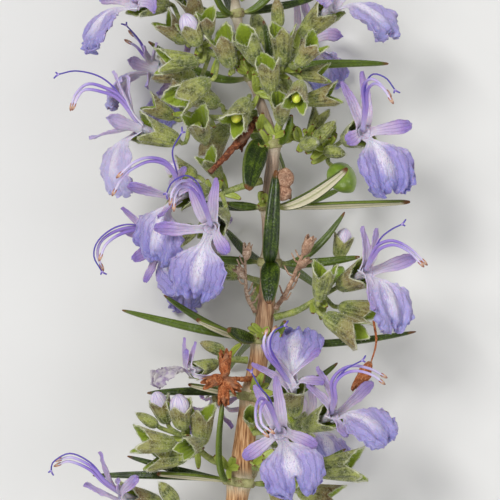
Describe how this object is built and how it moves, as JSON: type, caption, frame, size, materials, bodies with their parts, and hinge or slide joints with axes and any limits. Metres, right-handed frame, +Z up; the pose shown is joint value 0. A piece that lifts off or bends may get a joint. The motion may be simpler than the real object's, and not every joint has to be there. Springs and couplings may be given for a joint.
{
  "type": "rosemary sprig",
  "caption": "Cut flowering rosemary sprig lying on its side: woody stem, whorls of needle leaves, racemes of two-lipped calyces, lilac blooms and a few dried remains.",
  "frame": {"origin": "under the middle of the sprig's bounding box, on the surface it lies on", "axes": "+Z up from the surface, +Y along the stem from its cut end to its tip, +X across the sprig, to the right when it is seen from above with its tip up"},
  "size_m": [0.0434, 0.0868, 0.0317],
  "materials": {
    "wood": "rough tan-brown bark with fine lengthwise grain",
    "leaf": "dark glossy pebbled green above, cream felt below",
    "calyx": "grey-green, mealy-haired, brown-purple at the teeth",
    "petal": "thin lilac petals, whiter at the throat",
    "dried": "dry crumpled orange-brown"
  },
  "bodies": {
    "root": {"stem": "wood", "leaf_whorl_01": "leaf", "leaf_whorl_02": "leaf", "leaf_whorl_03": "leaf", "leaf_whorl_04": "leaf", "leaf_whorl_05": "leaf", "leaf_whorl_06": "leaf", "leaf_whorl_07": "leaf", "leaf_whorl_08": "leaf", "leaf_whorl_09": "leaf", "leaf_whorl_10": "leaf", "leaf_whorl_11": "leaf", "raceme_left_upper": "calyx", "raceme_left_top": "calyx", "raceme_right_top": "calyx", "raceme_right_upper": "calyx", "raceme_left_middle": "calyx", "raceme_right_middle": "calyx", "raceme_front_lower": "calyx", "raceme_left_lower": "calyx", "raceme_right_bottom": "calyx", "raceme_left_bottom": "calyx", "raceme_left_withered": "calyx", "raceme_back_upper": "calyx", "raceme_back_left": "calyx", "raceme_back_lower": "calyx", "raceme_back_bottom": "calyx", "raceme_tip_right": "calyx", "raceme_tip_left": "calyx", "bloom_01": "petal", "bloom_02": "petal", "bloom_03": "petal", "bloom_04": "petal", "bloom_05": "petal", "bloom_06": "petal", "bloom_07": "petal", "bloom_08": "petal", "bloom_09": "petal", "bloom_10": "petal", "bloom_11": "petal", "bloom_12": "petal", "bloom_13": "petal", "bloom_14": "petal", "bloom_15": "petal", "bloom_16": "petal", "bloom_17": "petal", "bloom_18": "petal", "bloom_19": "petal", "bloom_20": "petal", "dried_twig": "dried", "dead_raceme_left": "dried", "dead_raceme_right": "dried", "shrivelled_bloom": "dried", "dried_fruits": "dried"}
  },
  "joints": []
}
